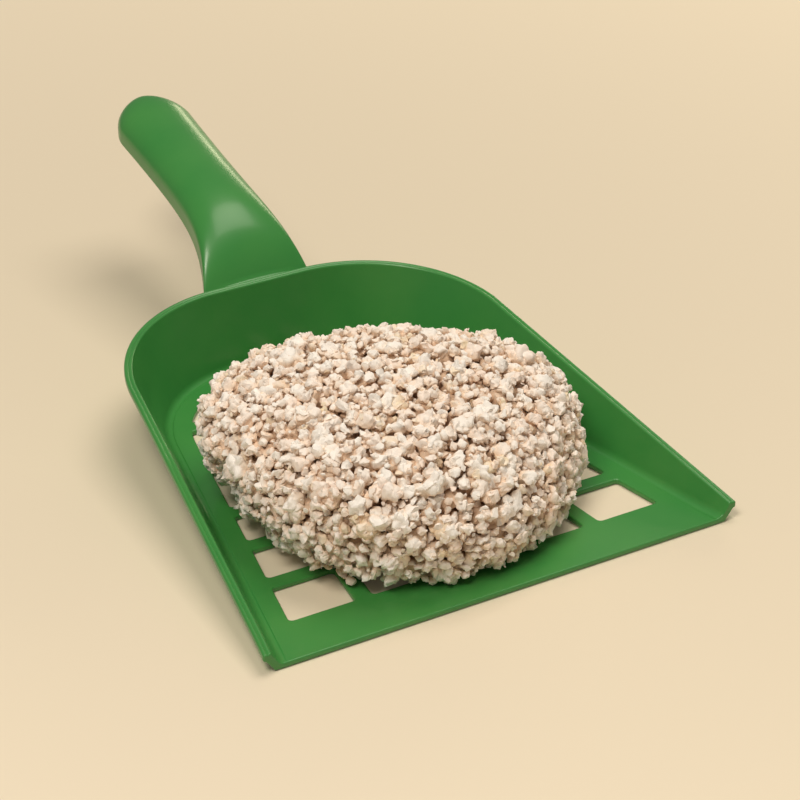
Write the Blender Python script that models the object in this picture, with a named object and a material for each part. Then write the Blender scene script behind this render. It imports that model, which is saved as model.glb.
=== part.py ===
"""A litter scoop, moulded in one piece with its handle, and the clump of litter that lies in it.

X runs across the scoop, +Y from the front lip to the handle, and +Z up. The origin is under the middle
of the whole length, on the plane that the floor rests on.
"""

import math
import random

import bmesh
import bpy
from mathutils import Vector

MM = 0.001

# Whole object
OVERALL_LENGTH = 250.0 * MM

# Pan floor, measured along the foot of the walls
FLOOR_FRONT_WIDTH = 150.0 * MM
FLOOR_BACK_WIDTH = 90.0 * MM
FLOOR_DEPTH = 156.0 * MM
FLOOR_CORNER_RADIUS = 44.0 * MM
FLOOR_THICKNESS = 1.8 * MM
EDGE_BREAK = 0.4 * MM

# Walls, which lean outwards from the floor by these flares
WALL_THICKNESS = 2.0 * MM
SIDE_FLARE_FRONT = 5.1 * MM
SIDE_FLARE_BACK = 15.4 * MM
REAR_FLARE = 4.3 * MM
RIM_CORNER_RADIUS = 50.0 * MM
RIM_HEIGHT_FRONT = 4.6 * MM
RIM_HEIGHT_CORNER = 25.2 * MM
RIM_HEIGHT_BACK = 28.5 * MM
FOOT_FILLET = 2.0 * MM
BEAD_OVERHANG = 0.8 * MM
BEAD_HEIGHT = 2.4 * MM
BEAD_ROUNDING = 1.1 * MM

# Slots in the floor, in rows across it, with the last row following the back corners
SLOT_FRONT_MARGIN = 17.0 * MM
SLOT_SIDE_MARGIN = 8.2 * MM
SLOT_ROW_LENGTHS = (17.0 * MM, 15.2 * MM, 13.6 * MM, 21.2 * MM, 20.0 * MM)
RIB_BETWEEN_ROWS = 5.2 * MM
RIB_BETWEEN_COLUMNS = 5.7 * MM
COLUMN_PITCH = 19.6 * MM
COLUMNS_PER_SIDE = 3
SLOT_CORNER_RADIUS = 1.5 * MM
SLOT_EDGE_BREAK = 0.5 * MM

# Handle, a channel that is open underneath
HANDLE_WALL = 2.2 * MM
HANDLE_BELOW_RIM = 0.7 * MM
HANDLE_RISE = 19.5 * MM
HANDLE_RISE_LENGTH = 8.5 * MM
HANDLE_SLOPE = 0.185
HANDLE_ROOT_WIDTH = 39.5 * MM
HANDLE_WAIST_WIDTH = 25.0 * MM
HANDLE_END_WIDTH = 27.4 * MM
HANDLE_FLARE_LENGTH = 13.0 * MM
HANDLE_ROOT_CROWN = 2.6 * MM
HANDLE_GRIP_CROWN = 8.0 * MM
HANDLE_ROOT_DEPTH = 13.0 * MM
HANDLE_GRIP_DEPTH = 11.5 * MM
HANDLE_DEPTH_LENGTH = 30.0 * MM
HANDLE_END_FULLNESS = 0.5

# Clump of litter
CLUMP_GAP = 0.3 * MM
CLUMP_CENTRE_X = -5.5 * MM
CLUMP_FROM_FRONT = 57.4 * MM
CLUMP_HALF_WIDTH = 55.3 * MM
CLUMP_HALF_LENGTH = 50.5 * MM
CLUMP_HEIGHT = 45.0 * MM
CLUMP_TURN = math.radians(-13.4)
CLUMP_SHOULDER = 21.0 * MM
CLUMP_BASE_SHARE = 0.87
CLUMP_BASE_TURN = math.radians(-50.0)
CLUMP_SIDE_POWER = 2.6
CLUMP_DOME_POWER = 0.87
CLUMP_SQUARENESS = 0.105
CLUMP_LOBES = 0.062
CLUMP_LOBE_TURN = math.radians(57.5)
CLUMP_TOP_SHIFT_X = -11.2 * MM
CLUMP_TOP_SHIFT_Y = 4.0 * MM

# Granules that the clump's surface is made of, each a chipped block with gaps round it
GRANULE_SPACING = 5.3 * MM
GRANULE_BASE_SPACING = 14.0 * MM
GRANULE_BASE_HEIGHT = 0.5 * MM
GRANULE_LEAST_RISE = 0.0 * MM
GRANULE_MOST_RISE = 2.4 * MM
GRANULE_TILT = 0.35
GRANULE_PEAK = 0.7 * MM
GRANULE_LEAST_SHARE = 0.58
GRANULE_MOST_SHARE = 0.82
GAP_LEAST_DEPTH = 1.4 * MM
GAP_MOST_DEPTH = 2.8 * MM
RELIEF_FADE_HEIGHT = 4.0 * MM

# Steps that round forms are divided into, and limits that their outlines keep to
SIDE_STEPS = 4
CORNER_STEPS = 12
BACK_STEPS = 2
FILLET_STEPS = 3
BEAD_STEPS = 5
SLOT_CORNER_STEPS = 2
SLOT_CURVE_STEPS = 4
HANDLE_STEPS = 11
HANDLE_STEP_POWER = 1.5
HANDLE_END_STEPS = 8
CROWN_STEPS = 12
GRANULE_TRIES = 24000
GRANULE_SEED = 5
NET_PASSES = 3
MERGE_DISTANCE = 0.001 * MM
STRAIGHT_WITHIN = 0.02 * MM
MITRE_LIMIT = 0.5
MEETING_PASSES = 12
LEAST_CORNER_TURN = math.radians(25.0)
LARGEST_CORNER_SHARE = 0.45
LEAST_CROWN_SHARE = 0.2
SHARP_ANGLE = math.radians(35.0)

FRONT_Y = -OVERALL_LENGTH / 2


def make_material(name, colour, roughness):
    """A plain Principled material."""
    material = bpy.data.materials.new(name)
    material.use_nodes = True
    shader = material.node_tree.nodes["Principled BSDF"]
    shader.inputs["Base Color"].default_value = (*colour, 1.0)
    shader.inputs["Roughness"].default_value = roughness
    shader.inputs["Metallic"].default_value = 0.0
    return material


def add_object(name, mesh_builder, material):
    """Turns a bmesh into a named object with one material."""
    bmesh.ops.remove_doubles(mesh_builder, verts=mesh_builder.verts, dist=MERGE_DISTANCE)
    bmesh.ops.recalc_face_normals(mesh_builder, faces=mesh_builder.faces)
    mesh = bpy.data.meshes.new(name)
    mesh_builder.to_mesh(mesh)
    mesh_builder.free()
    mesh.materials.append(material)
    mesh.shade_smooth()
    mesh.set_sharp_from_angle(angle=SHARP_ANGLE)
    part = bpy.data.objects.new(name, mesh)
    bpy.context.scene.collection.objects.link(part)
    return part


def make_tool(part):
    """Marks an object as a form that only shapes another one."""
    part.hide_render = True
    part.display_type = "WIRE"


def combine(target, tool, operation):
    """Joins a tool to the target, or cuts it out of the target."""
    modifier = target.modifiers.new(tool.name, "BOOLEAN")
    modifier.object = tool
    modifier.operation = operation
    modifier.solver = "EXACT"
    make_tool(tool)


def bridge_rings(mesh_builder, first, second, closed):
    """Adds quads between two rows of vertices of the same length."""
    count = len(first) if closed else len(first) - 1
    for index in range(count):
        after = (index + 1) % len(first)
        mesh_builder.faces.new((first[index], first[after], second[after], second[index]))


def offset_polygon(points, distance):
    """Moves the corners of a counter-clockwise polygon outwards, or inwards if distance is negative."""
    moved = []
    for index, point in enumerate(points):
        before = (point - points[index - 1]).normalized()
        after = (points[(index + 1) % len(points)] - point).normalized()
        normal_before = Vector((before.y, -before.x))
        normal_after = Vector((after.y, -after.x))
        mitre = (normal_before + normal_after).normalized()
        stretch = max(mitre.dot(normal_before), MITRE_LIMIT)
        moved.append(point + mitre * (distance / stretch))
    return moved


def back_corner(front_width, back_width, depth, radius):
    """Start of the back corner's arc, its centre, and the side's outward normal."""
    corner = Vector((back_width / 2, depth))
    side = (corner - Vector((front_width / 2, 0.0))).normalized()
    turn = math.acos(-side.x)
    start = corner - side * (radius * math.tan(turn / 2))
    normal = Vector((side.y, -side.x))
    return start, start - normal * radius, normal


def half_outline(front_width, back_width, depth, radius):
    """Points and outward normals from the right front corner to the middle of the back."""
    start, centre, side_normal = back_corner(front_width, back_width, depth, radius)
    front = Vector((front_width / 2, 0.0))
    first_angle = math.atan2(side_normal.y, side_normal.x)
    stations = []
    for step in range(SIDE_STEPS):
        stations.append((front.lerp(start, step / SIDE_STEPS), side_normal))
    for step in range(CORNER_STEPS + 1):
        angle = first_angle + (math.pi / 2 - first_angle) * step / CORNER_STEPS
        normal = Vector((math.cos(angle), math.sin(angle)))
        stations.append((centre + normal * radius, normal))
    for step in range(1, BACK_STEPS + 1):
        share = 1.0 - step / BACK_STEPS
        stations.append((Vector((centre.x * share, depth)), Vector((0.0, 1.0))))
    return stations


def rim_height(step):
    """Height of the rim over the floor's upper face at a step of the half outline."""
    if step <= SIDE_STEPS:
        return RIM_HEIGHT_FRONT + (RIM_HEIGHT_CORNER - RIM_HEIGHT_FRONT) * step / SIDE_STEPS
    share = min((step - SIDE_STEPS) / CORNER_STEPS, 1.0)
    return RIM_HEIGHT_BACK - (RIM_HEIGHT_BACK - RIM_HEIGHT_CORNER) * (1.0 - share) ** 2


def wall_section(floor_station, rim_station, height):
    """Section of floor edge, wall and rim bead, from the floor's upper face round to its underside."""
    floor_point, floor_normal = floor_station
    rim_point, rim_normal = rim_station
    top = FLOOR_THICKNESS + height

    def at_foot(offset, z):
        return (floor_point + floor_normal * offset).to_3d() + Vector((0.0, 0.0, z))

    def at_rim(offset, z):
        return (rim_point + rim_normal * offset).to_3d() + Vector((0.0, 0.0, z))

    bead_width = WALL_THICKNESS + BEAD_OVERHANG
    fillet_start = at_foot(-FOOT_FILLET, FLOOR_THICKNESS)
    foot = at_foot(0.0, FLOOR_THICKNESS)
    head = at_rim(-bead_width, top - BEAD_ROUNDING)
    fillet_end = foot + (head - foot).normalized() * FOOT_FILLET
    points = []
    for step in range(FILLET_STEPS + 1):
        share = step / FILLET_STEPS
        points.append(fillet_start.lerp(foot, share).lerp(foot.lerp(fillet_end, share), share))
    for step in range(BEAD_STEPS + 1):
        angle = math.pi * step / BEAD_STEPS
        offset = -bead_width / 2 * (1.0 + math.cos(angle))
        points.append(at_rim(offset, top - BEAD_ROUNDING * (1.0 - math.sin(angle))))
    points.append(at_rim(0.0, top - BEAD_HEIGHT))
    points.append(at_rim(-BEAD_OVERHANG, top - BEAD_HEIGHT))
    points.append(at_foot(WALL_THICKNESS, EDGE_BREAK))
    points.append(at_foot(WALL_THICKNESS - EDGE_BREAK, 0.0))
    points.append(at_foot(-FOOT_FILLET, 0.0))
    return points


def pan_sections():
    """Wall sections from the right front end, round the back, to the left front end."""
    floor = half_outline(FLOOR_FRONT_WIDTH, FLOOR_BACK_WIDTH, FLOOR_DEPTH, FLOOR_CORNER_RADIUS)
    rim_front = FLOOR_FRONT_WIDTH + 2 * SIDE_FLARE_FRONT
    rim_back = FLOOR_BACK_WIDTH + 2 * SIDE_FLARE_BACK
    rim = half_outline(rim_front, rim_back, FLOOR_DEPTH + REAR_FLARE, RIM_CORNER_RADIUS)
    half = []
    for step, stations in enumerate(zip(floor, rim)):
        half.append(wall_section(*stations, rim_height(step)))
    for point in half[0]:
        point.y = EDGE_BREAK
    mirrored = []
    for section in reversed(half[:-1]):
        mirrored.append([Vector((-point.x, point.y, point.z)) for point in section])
    return half + mirrored


def build_pan(material):
    """The floor with its walls and rim, still without slots and handle."""
    builder = bmesh.new()
    sections = pan_sections()
    shift = Vector((0.0, FRONT_Y, 0.0))
    rings = [[builder.verts.new(point + shift) for point in section] for section in sections]
    for first, second in zip(rings, rings[1:]):
        bridge_rings(builder, first, second, closed=False)
    builder.faces.new([ring[0] for ring in rings])
    builder.faces.new([ring[-1] for ring in rings])

    # The front end is one flat face, a little smaller than the section behind it
    end_points = sections[-1] + sections[0][::-1]
    end_ring = rings[-1] + rings[0][::-1]
    flat = [Vector((point.x, point.z)) for point in end_points]
    area = sum(a.x * b.y - b.x * a.y for a, b in zip(flat, flat[1:] + flat[:1]))
    inset = offset_polygon(flat, math.copysign(EDGE_BREAK, -area))
    front = [builder.verts.new((point.x, FRONT_Y, point.y)) for point in inset]
    bridge_rings(builder, end_ring, front, closed=True)
    builder.faces.new(front)
    return add_object("scoop", builder, material)


def floor_corner():
    """The back corner of the floor."""
    return back_corner(FLOOR_FRONT_WIDTH, FLOOR_BACK_WIDTH, FLOOR_DEPTH, FLOOR_CORNER_RADIUS)


def region_side(y):
    """Half width of the slotted region at a distance behind the front edge."""
    start, centre, normal = floor_corner()
    line = FLOOR_FRONT_WIDTH / 2 - (FLOOR_FRONT_WIDTH - FLOOR_BACK_WIDTH) / 2 * y / FLOOR_DEPTH
    line -= SLOT_SIDE_MARGIN / normal.x
    radius = FLOOR_CORNER_RADIUS - SLOT_SIDE_MARGIN
    if y <= start.y or y - centre.y >= radius:
        return line
    return min(line, centre.x + math.sqrt(radius ** 2 - max(y - centre.y, 0.0) ** 2))


def region_back(x):
    """Distance behind the front edge at which the slotted region ends."""
    _, centre, _ = floor_corner()
    radius = FLOOR_CORNER_RADIUS - SLOT_SIDE_MARGIN
    beyond = max(abs(x) - centre.x, 0.0)
    return centre.y + math.sqrt(max(radius ** 2 - beyond ** 2, 0.0))


def rib_line(column, y):
    """Centre of the rib between columns, which fans in with the floor's sides."""
    return column * COLUMN_PITCH * closing_share(y)


def closing_share(y):
    """How far the columns have closed in at a distance behind the front edge."""
    here = FLOOR_FRONT_WIDTH / 2 - (FLOOR_FRONT_WIDTH - FLOOR_BACK_WIDTH) / 2 * y / FLOOR_DEPTH
    first = FLOOR_FRONT_WIDTH / 2
    first -= (FLOOR_FRONT_WIDTH - FLOOR_BACK_WIDTH) / 2 * SLOT_FRONT_MARGIN / FLOOR_DEPTH
    return (here - SLOT_SIDE_MARGIN) / (first - SLOT_SIDE_MARGIN)


def slot_sides(column, y):
    """Inner and outer edge of a column of slots at a distance behind the front edge."""
    inner = rib_line(column, y) + RIB_BETWEEN_COLUMNS / 2
    if column == COLUMNS_PER_SIDE - 1:
        return inner, region_side(y)
    return inner, rib_line(column + 1, y) - RIB_BETWEEN_COLUMNS / 2


def meet_back(column, side, start):
    """Where an edge of a column meets the end of the slotted region."""
    y = start
    for _ in range(MEETING_PASSES):
        y = region_back(slot_sides(column, y)[side])
    return y


def row_slot(column, start, end):
    """Corners of a slot in a straight row, on the right-hand side, counter-clockwise."""
    outer = []
    for step in range(SLOT_CURVE_STEPS + 1):
        y = start + (end - start) * step / SLOT_CURVE_STEPS
        outer.append(Vector((slot_sides(column, y)[1], y)))
    if abs(outer[1].x - outer[0].lerp(outer[-1], 1 / SLOT_CURVE_STEPS).x) < STRAIGHT_WITHIN:
        outer = [outer[0], outer[-1]]
    inner_start = Vector((slot_sides(column, start)[0], start))
    inner_end = Vector((slot_sides(column, end)[0], end))
    return [inner_start] + outer + [inner_end]


def last_slot(column, start):
    """Corners of a slot in the last row, whose far edge follows the back of the floor."""
    inner, outer = slot_sides(column, start)
    inner_end = slot_sides(column, meet_back(column, 0, start))[0]
    outer_end = outer
    if column < COLUMNS_PER_SIDE - 1:
        outer_end = slot_sides(column, meet_back(column, 1, start))[1]
    points = [Vector((inner, start)), Vector((outer, start))]
    for step in range(SLOT_CURVE_STEPS + 1):
        x = outer_end + (inner_end - outer_end) * step / SLOT_CURVE_STEPS
        point = Vector((x, region_back(x)))
        if (point - points[-1]).length > EDGE_BREAK:
            points.append(point)
    return points


def round_corners(points, radius):
    """Rounds the sharp corners of a polygon with short arcs."""
    rounded = []
    for index, point in enumerate(points):
        before = points[index - 1] - point
        after = points[(index + 1) % len(points)] - point
        turn = math.pi - before.angle(after)
        if turn < LEAST_CORNER_TURN:
            rounded.append(point)
            continue
        room = LARGEST_CORNER_SHARE * min(before.length, after.length)
        reach = min(radius * math.tan(turn / 2), room)
        start = point + before.normalized() * reach
        end = point + after.normalized() * reach
        for step in range(SLOT_CORNER_STEPS + 1):
            share = step / SLOT_CORNER_STEPS
            rounded.append(start.lerp(point, share).lerp(point.lerp(end, share), share))
    return rounded


def slot_outlines():
    """Outlines of all the slots on the right-hand side."""
    outlines = []
    start = SLOT_FRONT_MARGIN
    for length in SLOT_ROW_LENGTHS:
        for column in range(COLUMNS_PER_SIDE):
            outlines.append(row_slot(column, start, start + length))
        start += length + RIB_BETWEEN_ROWS
    for column in range(COLUMNS_PER_SIDE):
        outlines.append(last_slot(column, start))
    return [round_corners(outline, SLOT_CORNER_RADIUS) for outline in outlines]


def add_slot_form(builder, outline):
    """One slot's form, which widens at the floor's upper face to break the edge there."""
    clear = FLOOR_THICKNESS
    widened = offset_polygon(outline, SLOT_EDGE_BREAK)
    levels = (
        (-clear, outline),
        (FLOOR_THICKNESS - SLOT_EDGE_BREAK, outline),
        (FLOOR_THICKNESS, widened),
        (FLOOR_THICKNESS + clear, offset_polygon(outline, SLOT_EDGE_BREAK + clear)),
    )
    rings = []
    for z, points in levels:
        rings.append([builder.verts.new((point.x, FRONT_Y + point.y, z)) for point in points])
    for first, second in zip(rings, rings[1:]):
        bridge_rings(builder, first, second, closed=True)
    builder.faces.new(rings[0])
    builder.faces.new(rings[-1])


def build_slot_forms(material):
    """The forms of all the slots, as one cutting object."""
    builder = bmesh.new()
    for outline in slot_outlines():
        mirrored = [Vector((-point.x, point.y)) for point in reversed(outline)]
        add_slot_form(builder, outline)
        add_slot_form(builder, mirrored)
    return add_object("slot_forms", builder, material)


def settle(start, end, distance, length):
    """A size that leaves its start value and settles at its end value."""
    return end + (start - end) * math.exp(-distance / length)


def wall_middle(z):
    """Distance behind the front edge of the middle of the back wall's thickness."""
    top = FLOOR_THICKNESS + RIM_HEIGHT_BACK
    foot = FLOOR_DEPTH + WALL_THICKNESS / 2
    head = FLOOR_DEPTH + REAR_FLARE - BEAD_OVERHANG - WALL_THICKNESS / 2
    return foot + (head - foot) * z / top


def handle_crown(distance):
    """Height of the handle's crown at a distance behind the rim."""
    root = FLOOR_THICKNESS + RIM_HEIGHT_BACK - HANDLE_BELOW_RIM
    return root + settle(0.0, HANDLE_RISE, distance, HANDLE_RISE_LENGTH) + HANDLE_SLOPE * distance


def handle_width(distance, straight):
    """Width of the handle at a distance behind the rim."""
    flare = settle(HANDLE_ROOT_WIDTH - HANDLE_WAIST_WIDTH, 0.0, distance, HANDLE_FLARE_LENGTH)
    swell = (HANDLE_END_WIDTH - HANDLE_WAIST_WIDTH) * (distance / straight) ** 2
    return HANDLE_WAIST_WIDTH + flare + swell


def handle_profile(half_width, shoulder, crown, bottom):
    """Section of one face of the channel's wall, from its left edge over the crown to its right."""
    points = [(-half_width, bottom)]
    for step in range(CROWN_STEPS + 1):
        angle = math.pi * (step / CROWN_STEPS - 0.5)
        points.append((half_width * math.sin(angle), shoulder + crown * math.cos(angle)))
    points.append((half_width, bottom))
    return points


def handle_stations():
    """Distances behind the rim, with the share of the rounded end's turn at each."""
    end_radius = HANDLE_END_WIDTH / 2
    straight = OVERALL_LENGTH - (FLOOR_DEPTH + REAR_FLARE) - end_radius
    stations = []
    for step in range(HANDLE_STEPS):
        stations.append((straight * (step / HANDLE_STEPS) ** HANDLE_STEP_POWER, 0.0))
    for step in range(HANDLE_END_STEPS + 1):
        stations.append((straight, math.pi / 2 * step / HANDLE_END_STEPS))
    return straight, end_radius, stations


def build_handle(material):
    """The handle, whose root lies inside the back wall."""
    builder = bmesh.new()
    straight, end_radius, stations = handle_stations()
    rim = FLOOR_DEPTH + REAR_FLARE
    outer_rings = []
    inner_rings = []
    for index, (distance, turn) in enumerate(stations):
        close = math.cos(turn)
        reach = math.sin(turn)
        half_width = handle_width(distance, straight) / 2
        crown = settle(HANDLE_ROOT_CROWN, HANDLE_GRIP_CROWN, distance, HANDLE_FLARE_LENGTH)
        depth = settle(HANDLE_ROOT_DEPTH, HANDLE_GRIP_DEPTH, distance, HANDLE_DEPTH_LENGTH)
        outer_y = rim + distance + end_radius * reach
        inner_y = rim + distance + (end_radius - HANDLE_WALL) * reach
        shoulder = handle_crown(outer_y - rim) - crown
        bottom = handle_crown(outer_y - rim) - depth
        fullness = max(close, 0.0) ** HANDLE_END_FULLNESS
        outer = handle_profile(half_width * close, shoulder, crown * fullness, bottom)
        inner_crown = max(crown - HANDLE_WALL, LEAST_CROWN_SHARE * HANDLE_WALL) * fullness
        inner = handle_profile((half_width - HANDLE_WALL) * close, shoulder, inner_crown, bottom)
        if index == 0:
            outer_points = [(x, wall_middle(z), z) for x, z in outer]
            inner_points = [(x, wall_middle(z), z) for x, z in inner]
        else:
            outer_points = [(x, outer_y, z) for x, z in outer]
            inner_points = [(x, inner_y, z) for x, z in inner]
        outer_rings.append([builder.verts.new((x, FRONT_Y + y, z)) for x, y, z in outer_points])
        inner_rings.append([builder.verts.new((x, FRONT_Y + y, z)) for x, y, z in inner_points])
    for rings in (outer_rings, inner_rings):
        for first, second in zip(rings, rings[1:]):
            bridge_rings(builder, first, second, closed=False)
    bridge_rings(builder, outer_rings[0], inner_rings[0], closed=False)
    for edge in (0, -1):
        outer_edge = [ring[edge] for ring in outer_rings]
        inner_edge = [ring[edge] for ring in inner_rings]
        bridge_rings(builder, outer_edge, inner_edge, closed=False)
    bmesh.ops.remove_doubles(builder, verts=builder.verts, dist=MERGE_DISTANCE)
    bmesh.ops.dissolve_degenerate(builder, edges=builder.edges, dist=MERGE_DISTANCE)
    return add_object("handle_form", builder, material)


def clump_surface(direction):
    """Point of the clump's smooth surface that a direction from its middle maps to."""
    rise = math.asin(max(-1.0, min(1.0, direction.z)))
    turn = math.atan2(direction.y, direction.x)
    if rise >= 0.0:
        share = math.cos(rise) ** CLUMP_DOME_POWER
        z = CLUMP_SHOULDER + (CLUMP_HEIGHT - CLUMP_SHOULDER) * math.sin(rise) ** CLUMP_DOME_POWER
    elif rise >= CLUMP_BASE_TURN:
        drop = rise / CLUMP_BASE_TURN
        share = 1.0 - (1.0 - CLUMP_BASE_SHARE) * drop ** CLUMP_SIDE_POWER
        z = CLUMP_SHOULDER * (1.0 - drop)
    else:
        share = CLUMP_BASE_SHARE * math.cos(rise) / math.cos(CLUMP_BASE_TURN)
        z = 0.0
    bulge = 1.0 - CLUMP_SQUARENESS * math.cos(2 * turn)
    bulge += CLUMP_LOBES * math.cos(3 * turn - CLUMP_LOBE_TURN)
    x = CLUMP_HALF_WIDTH * math.cos(turn) * bulge / (1.0 - CLUMP_SQUARENESS)
    y = CLUMP_HALF_LENGTH * math.sin(turn) * bulge / (1.0 + CLUMP_SQUARENESS)
    level = (z - CLUMP_SHOULDER) / CLUMP_HEIGHT
    turned_x = x * math.cos(CLUMP_TURN) - y * math.sin(CLUMP_TURN)
    turned_y = x * math.sin(CLUMP_TURN) + y * math.cos(CLUMP_TURN)
    return Vector((
        turned_x * share + CLUMP_TOP_SHIFT_X * level,
        turned_y * share + CLUMP_TOP_SHIFT_Y * level,
        z,
    ))


def granule_spacing(point):
    """Least distance between the granules near a point, which is wider under the clump."""
    return GRANULE_BASE_SPACING if point.z < GRANULE_BASE_HEIGHT else GRANULE_SPACING


def granule_directions():
    """Directions from the clump's middle to its granules, spread evenly over its surface."""
    draws = random.Random(GRANULE_SEED)
    taken = {}
    directions = []
    for _ in range(GRANULE_TRIES):
        height = draws.uniform(-1.0, 1.0)
        turn = draws.uniform(0.0, 2.0 * math.pi)
        reach = math.sqrt(1.0 - height ** 2)
        direction = Vector((reach * math.cos(turn), reach * math.sin(turn), height))
        point = clump_surface(direction)
        spacing = granule_spacing(point)
        cell = tuple(math.floor(value / GRANULE_BASE_SPACING) for value in point)
        offsets = ((x, y, z) for x in (-1, 0, 1) for y in (-1, 0, 1) for z in (-1, 0, 1))
        near = []
        for x, y, z in offsets:
            near += taken.get((cell[0] + x, cell[1] + y, cell[2] + z), [])
        if all((point - other).length >= spacing for other in near):
            taken.setdefault(cell, []).append(point)
            directions.append(direction)
    return directions


def surrounding_faces(vertex):
    """The faces round a vertex of a closed mesh, in order."""
    start = vertex.link_loops[0]
    loop = start
    faces = []
    while True:
        faces.append(loop.face)
        loop = loop.link_loop_prev.link_loop_radial_next
        if loop == start:
            return faces


def relief_fade(point):
    """How much of the relief a point keeps, which is none at the flat base."""
    return min(1.0, max(0.0, point.z / RELIEF_FADE_HEIGHT))


def random_lean(draws):
    """A small tilt to any side."""
    return Vector([draws.uniform(-GRANULE_TILT, GRANULE_TILT) for _ in range(3)])


def add_granule(builder, corner, gaps, draws):
    """One granule: a tilted block with a low peak, whose sides run down into the gaps round it."""
    middle = corner.co
    rise = draws.uniform(GRANULE_LEAST_RISE, GRANULE_MOST_RISE)
    lean = random_lean(draws)
    around = surrounding_faces(corner)
    top = []
    for face in around:
        share = draws.uniform(GRANULE_LEAST_SHARE, GRANULE_MOST_SHARE)
        edge = middle.lerp(face.calc_center_median(), share)
        height = (rise + lean.dot(edge - middle)) * relief_fade(edge)
        top.append(builder.verts.new(edge + corner.normal * height))
    height = (rise + GRANULE_PEAK) * relief_fade(middle)
    peak = builder.verts.new(middle + corner.normal * height)
    for index, face in enumerate(around):
        after = (index + 1) % len(around)
        builder.faces.new((peak, top[index], top[after]))
        builder.faces.new((top[index], gaps[face.index], gaps[around[after].index], top[after]))


def clump_net():
    """A net of triangles over the clump's smooth surface, with a corner for each granule."""
    net = bmesh.new()
    for direction in granule_directions():
        net.verts.new(direction)
    bmesh.ops.convex_hull(net, input=net.verts)
    for corner in net.verts:
        corner.co = clump_surface(corner.co.normalized())
    for _ in range(NET_PASSES):
        bmesh.ops.beautify_fill(net, faces=net.faces, edges=net.edges, method="ANGLE")
    net.normal_update()
    net.faces.index_update()
    return net


def build_clump(material):
    """The clump, whose surface is granules stuck together, with a flat base on the floor."""
    net = clump_net()
    draws = random.Random(GRANULE_SEED)
    builder = bmesh.new()
    gaps = []
    for face in net.faces:
        point = face.calc_center_median()
        depth = draws.uniform(GAP_LEAST_DEPTH, GAP_MOST_DEPTH) * relief_fade(point)
        gaps.append(builder.verts.new(point - face.normal * depth))
    for corner in net.verts:
        add_granule(builder, corner, gaps, draws)
    net.free()
    rest = FLOOR_THICKNESS + CLUMP_GAP
    seat = Vector((CLUMP_CENTRE_X, FRONT_Y + CLUMP_FROM_FRONT, rest))
    for vertex in builder.verts:
        vertex.co.z = max(vertex.co.z, 0.0)
        vertex.co += seat
    clump = add_object("litter_clump", builder, material)
    clump.data.shade_flat()


def build():
    """Empties the scene and builds the two pieces."""
    for leftover in list(bpy.data.objects):
        bpy.data.objects.remove(leftover, do_unlink=True)
    green = make_material("green_plastic", (0.055, 0.25, 0.05), 0.32)
    litter = make_material("litter", (0.78, 0.66, 0.53), 0.95)
    scoop = build_pan(green)
    combine(scoop, build_handle(green), "UNION")
    combine(scoop, build_slot_forms(green), "DIFFERENCE")
    build_clump(litter)


build()
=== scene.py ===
"""Looks of a moulded litter scoop and of the clump of granules that lies in it.

Sizes are in metres. X runs across the scoop, +Y from the front lip to the handle, and +Z up. The origin is
under the middle of the whole length, on the plane that the scoop's floor rests on.
"""

import logging
import math
import random
from contextlib import contextmanager
from dataclasses import dataclass, field
from enum import Enum
from typing import Iterator

import bmesh
import bpy
from mathutils import Color, Euler, Matrix, Vector, noise
from mathutils.bvhtree import BVHTree


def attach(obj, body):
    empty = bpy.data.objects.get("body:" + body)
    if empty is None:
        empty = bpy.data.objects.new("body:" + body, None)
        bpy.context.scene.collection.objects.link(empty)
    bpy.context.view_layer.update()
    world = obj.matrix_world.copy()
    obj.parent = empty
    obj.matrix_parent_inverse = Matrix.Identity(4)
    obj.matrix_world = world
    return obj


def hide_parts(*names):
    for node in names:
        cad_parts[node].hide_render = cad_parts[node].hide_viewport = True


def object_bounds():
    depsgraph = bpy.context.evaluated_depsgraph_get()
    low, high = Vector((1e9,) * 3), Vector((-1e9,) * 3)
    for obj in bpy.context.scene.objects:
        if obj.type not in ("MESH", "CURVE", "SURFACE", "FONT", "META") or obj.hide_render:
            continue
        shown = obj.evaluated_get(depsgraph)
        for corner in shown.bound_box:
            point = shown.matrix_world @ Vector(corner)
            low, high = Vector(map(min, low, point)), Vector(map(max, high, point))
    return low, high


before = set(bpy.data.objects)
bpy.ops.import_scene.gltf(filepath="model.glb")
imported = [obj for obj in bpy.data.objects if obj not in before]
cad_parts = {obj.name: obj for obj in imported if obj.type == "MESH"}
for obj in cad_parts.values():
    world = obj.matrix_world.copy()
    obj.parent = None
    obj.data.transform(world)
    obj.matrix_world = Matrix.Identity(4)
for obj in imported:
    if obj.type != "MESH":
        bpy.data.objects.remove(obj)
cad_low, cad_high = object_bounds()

MM = 0.001
MERGE_WITHIN = 0.002 * MM
TINT = "tint"
# Each vertex's depth, from which the granules' material paints shade on low and sunken places.
SHADE_DEPTH = "depth"
LOG = logging.getLogger("scoop")


class GranuleSize(Enum):
    """The sizes that the clump's granules come in."""

    COARSE = "coarse"
    MEDIUM = "medium"
    SMALL = "small"
    FINE = "fine"


def deselect_all() -> None:
    """Leaves edit mode and deselects every object."""
    if bpy.context.object and bpy.context.object.mode != "OBJECT":
        bpy.ops.object.mode_set(mode="OBJECT")
    bpy.ops.object.select_all(action="DESELECT")


def activate(piece: bpy.types.Object) -> None:
    """Selects one object alone and makes it the active one.

    Args:
        piece: The object.
    """
    deselect_all()
    piece.select_set(True)
    bpy.context.view_layer.objects.active = piece


@contextmanager
def editing(piece: bpy.types.Object) -> Iterator[None]:
    """Opens a piece in edit mode for the body of a with statement.

    Args:
        piece: The mesh object to edit.
    """
    activate(piece)
    bpy.ops.object.mode_set(mode="EDIT")
    try:
        yield
    finally:
        bpy.ops.object.mode_set(mode="OBJECT")


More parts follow.
